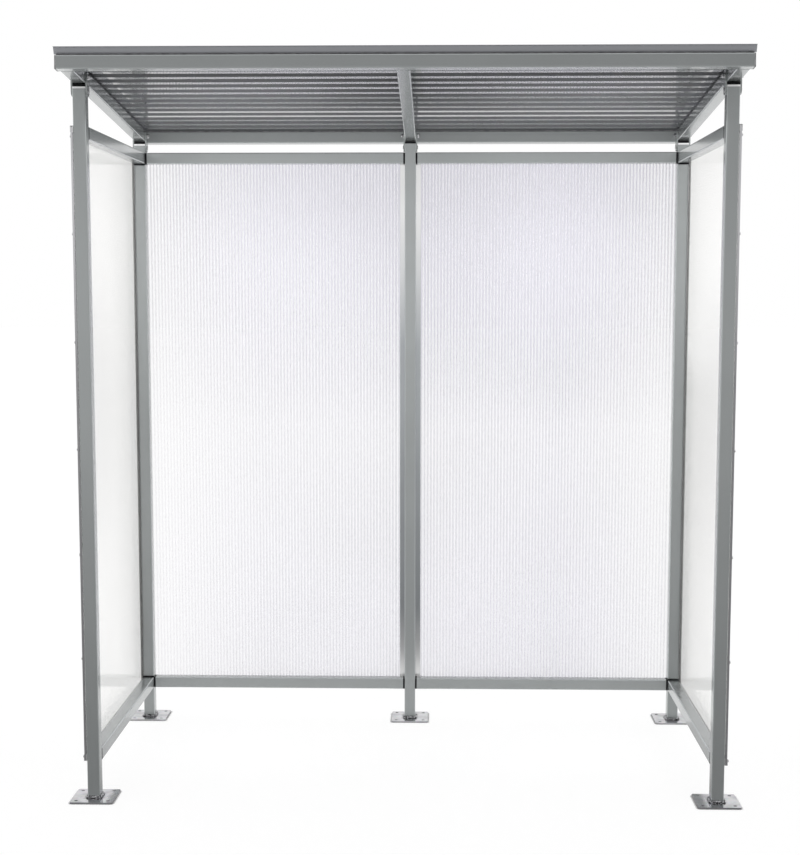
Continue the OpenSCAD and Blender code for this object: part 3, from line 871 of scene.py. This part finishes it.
class SHELTER_OT_stage(bpy.types.Operator):
    """Set up the camera, the white floor and surround, and the soft light"""
    bl_idname = "shelter.stage"
    bl_label = "Stage"

    def camera(self, scene, settings):
        data = bpy.data.cameras.new("camera")
        data.sensor_fit = "VERTICAL"
        data.sensor_height = 36.0
        data.lens = settings.lens
        data.shift_y = settings.rise
        data.clip_end = 200.0
        camera = bpy.data.objects.new("camera", data)
        pitch, roll, yaw = settings.camera_turn
        turn = Euler((pitch, 0.0, 0.0)).to_matrix() @ Euler((0.0, roll, 0.0)).to_matrix()
        turn = Euler((0.0, 0.0, yaw)).to_matrix() @ turn @ Euler((math.pi / 2, 0.0, 0.0)).to_matrix()
        camera.matrix_world = turn.to_4x4()
        camera.location = settings.camera_place
        scene.collection.objects.link(camera)
        scene.camera = camera

    def seen_rays(self, tree):
        """One for the rays that show the white surround: those from the camera, mirrors and clear plastic."""
        path = add_node(tree, "ShaderNodeLightPath")
        seen = calc(tree, "MAXIMUM", path.outputs["Is Camera Ray"], path.outputs["Is Glossy Ray"])
        return calc(tree, "MAXIMUM", seen, path.outputs["Is Transmission Ray"])

    def surround(self, scene, settings):
        world = bpy.data.worlds.new("surround")
        scene.world = world
        world.use_nodes = True
        tree = world.node_tree
        tree.nodes.clear()
        light = add_node(tree, "ShaderNodeBackground", {"Color": WHITE, "Strength": settings.sky})
        white = add_node(tree, "ShaderNodeBackground", {"Color": WHITE, "Strength": 1.0})
        both = add_node(tree, "ShaderNodeMixShader", {
            0: self.seen_rays(tree), 1: light.outputs[0], 2: white.outputs[0]})
        add_node(tree, "ShaderNodeOutputWorld", {"Surface": both.outputs[0]})

    def sheet(self, scene, name, corners):
        """One flat face of the stage."""
        mesh = bpy.data.meshes.new(name)
        mesh.from_pydata(corners, [], [(0, 1, 2, 3)])
        piece = bpy.data.objects.new(name, mesh)
        scene.collection.objects.link(piece)
        return piece

    def floor(self, scene, settings):
        """Paper that keeps the object's shadow and shows white to the camera and to gloss."""
        reach, drop = settings.floor_reach, -settings.mat_lift
        floor = self.sheet(scene, "floor", [
            (-reach, -reach, drop), (reach, -reach, drop), (reach, reach, drop), (-reach, reach, drop)])
        material = bpy.data.materials.new("floor_paper")
        material.use_nodes = True
        tree = material.node_tree
        tree.nodes.clear()
        place = add_node(tree, "ShaderNodeTexCoord").outputs["Object"]
        grain = add_node(tree, "ShaderNodeTexNoise", {"Vector": place, "Scale": 40.0, "Detail": 3.0})
        tone = add_node(tree, "ShaderNodeMapRange", {
            "Value": grain.outputs["Fac"], "From Min": 0.3, "From Max": 0.7, "To Min": 0.78, "To Max": 0.82})
        paper = add_node(tree, "ShaderNodeBsdfDiffuse", {"Color": tone.outputs["Result"]})
        shade = calc(tree, "MULTIPLY", tone.outputs["Result"], settings.floor_shade)
        shaded = add_node(tree, "ShaderNodeBsdfDiffuse", {"Color": shade})
        open_sky = add_node(tree, "ShaderNodeAmbientOcclusion", {"Distance": 0.008}, samples=4).outputs["AO"]
        strength = calc(tree, "MULTIPLY", calc(tree, "POWER", open_sky, 3.0), settings.floor_white)
        white = add_node(tree, "ShaderNodeEmission", {"Color": WHITE, "Strength": strength})
        seen = add_node(tree, "ShaderNodeAddShader", {0: white.outputs[0], 1: shaded.outputs[0]})
        both = add_node(tree, "ShaderNodeMixShader", {
            0: self.seen_rays(tree), 1: paper.outputs[0], 2: seen.outputs[0]})
        add_node(tree, "ShaderNodeOutputMaterial", {"Surface": both.outputs[0]})
        material.cycles.emission_sampling = "NONE"
        floor.data.materials.append(material)

    def card(self, scene, settings, name, corners, tones):
        """A glowing grey card that only the shelter's gloss shows, with its tone by place."""
        card = self.sheet(scene, name, corners)
        card.visible_camera = False
        card.visible_diffuse = False
        card.visible_transmission = False
        card.visible_shadow = False
        finish = Finish(name)
        tone = finish.times(tones(finish), finish.span(finish.axis("X"), -2.2, 2.2, 1.10, 0.82))
        weave = finish.span(finish.noise(2.0, 2.0), 0.3, 0.7, 0.95, 1.05)
        glow = finish.add("ShaderNodeEmission", {
            "Color": finish.grey(finish.times(tone, weave)), "Strength": settings.card})
        finish.tree.links.new(glow.outputs["Emission"], finish.sink.inputs["Surface"])
        finish.material.cycles.emission_sampling = "NONE"
        card.data.materials.append(finish.material)

    def mat_tones(self, finish):
        """Dark before the shelter, paler inside it and far off."""
        run = finish.axis("Y")
        near = finish.span(run, -5.0, -1.2, 0.43, 0.20)
        far = finish.math("ADD", near, finish.span(run, -14.0, -5.0, 0.30, 0.0))
        return finish.math("ADD", far, finish.span(run, -0.6, -0.1, 0.0, 0.52))

    def screen_tones(self, finish):
        """Palest at eye height, darker above."""
        rise = finish.axis("Z")
        low = finish.span(rise, 0.3, 1.8, 0.73, 0.86)
        high = finish.span(rise, 1.9, 5.6, 0.0, 0.54)
        return finish.math("SUBTRACT", low, high)

    def side_tones(self, finish):
        """Palest at the top."""
        return finish.span(finish.axis("Z"), 0.27, 1.95, 0.45, 1.3)

    def lamp(self, scene, settings, name, side, height, target_height, power_share):
        """A soft lamp at the open front that lights the inside of the back and the roof."""
        data = bpy.data.lights.new(name, "AREA")
        data.shape = "RECTANGLE"
        data.size = settings.lamp_width
        data.size_y = settings.lamp_height
        data.energy = settings.inner_light * power_share
        data.spread = math.radians(110.0)
        data.use_shadow = False
        lamp = bpy.data.objects.new(name, data)
        place = Vector((side * settings.lamp_side, settings.lamp_place, height))
        target = Vector((side * settings.lamp_side, settings.lamp_target, target_height))
        lamp.location = place
        lamp.rotation_euler = (target - place).to_track_quat("-Z", "Y").to_euler()
        lamp.visible_camera = False
        lamp.visible_glossy = False
        scene.collection.objects.link(lamp)

    def execute(self, context):
        scene = context.scene
        settings = scene.shelter_stage
        self.camera(scene, settings)
        self.surround(scene, settings)
        self.floor(scene, settings)
        reach, lift = settings.card_reach, settings.mat_lift
        start, end, top = settings.screen_place, settings.mat_end, settings.screen_height
        self.card(scene, settings, "front_mat", [
            (-reach, start, lift), (reach, start, lift), (reach, end, lift), (-reach, end, lift)],
            self.mat_tones)
        self.card(scene, settings, "front_screen", [
            (-reach, start, 0.0), (reach, start, 0.0), (reach, start, top), (-reach, start, top)],
            self.screen_tones)
        low, high, place = settings.side_card_low, settings.side_card_high, settings.side_card_place
        for side in (-1.0, 1.0):
            inner = side * settings.side_card_inner
            outer = side * settings.side_card_outer
            self.card(scene, settings, "side_card", [
                (inner, place, low), (outer, place, low), (outer, place, high), (inner, place, high)],
                self.side_tones)
            self.lamp(scene, settings, "upper_light", side, 1.80, 1.86, 0.36)
            self.lamp(scene, settings, "lower_light", side, 0.55, 0.50, 0.18)
        scene.view_settings.view_transform = "Standard"
        scene.cycles.transparent_max_bounces = 32
        return {"FINISHED"}


class SHELTER_PT_looks(bpy.types.Panel):
    """Buttons for the shelter's looks"""
    bl_idname = "SHELTER_PT_looks"
    bl_label = "Shelter looks"
    bl_space_type = "VIEW_3D"
    bl_region_type = "UI"
    bl_category = "Shelter"

    def draw(self, context):
        for step in STEPS:
            self.layout.operator(step.bl_idname)


STEPS = (
    SHELTER_OT_frame_finish,
    SHELTER_OT_panel_finish,
    SHELTER_OT_plate_finish,
    SHELTER_OT_cap_finish,
    SHELTER_OT_roof_finish,
    SHELTER_OT_ear_bolts,
    SHELTER_OT_panel_screws,
    SHELTER_OT_roof_screws,
    SHELTER_OT_foot_welds,
    SHELTER_OT_stage,
)
GROUPS = {
    "shelter_finish": ShelterFinish,
    "shelter_fixings": ShelterFixings,
    "shelter_welds": ShelterWelds,
    "shelter_stage": ShelterStage,
}


def register():
    for group in GROUPS.values():
        bpy.utils.register_class(group)
    for name, group in GROUPS.items():
        setattr(bpy.types.Scene, name, bpy.props.PointerProperty(type=group))
    for step in STEPS:
        bpy.utils.register_class(step)
    bpy.utils.register_class(SHELTER_PT_looks)


def unregister():
    bpy.utils.unregister_class(SHELTER_PT_looks)
    for step in reversed(STEPS):
        bpy.utils.unregister_class(step)
    for name in GROUPS:
        delattr(bpy.types.Scene, name)
    for group in reversed(GROUPS.values()):
        bpy.utils.unregister_class(group)


def main():
    register()
    bpy.ops.shelter.frame_finish()
    bpy.ops.shelter.panel_finish()
    bpy.ops.shelter.plate_finish()
    bpy.ops.shelter.cap_finish()
    bpy.ops.shelter.roof_finish()
    bpy.ops.shelter.ear_bolts()
    bpy.ops.shelter.panel_screws()
    bpy.ops.shelter.roof_screws()
    bpy.ops.shelter.foot_welds()
    bpy.ops.shelter.stage()


if __name__ == "__main__":
    main()
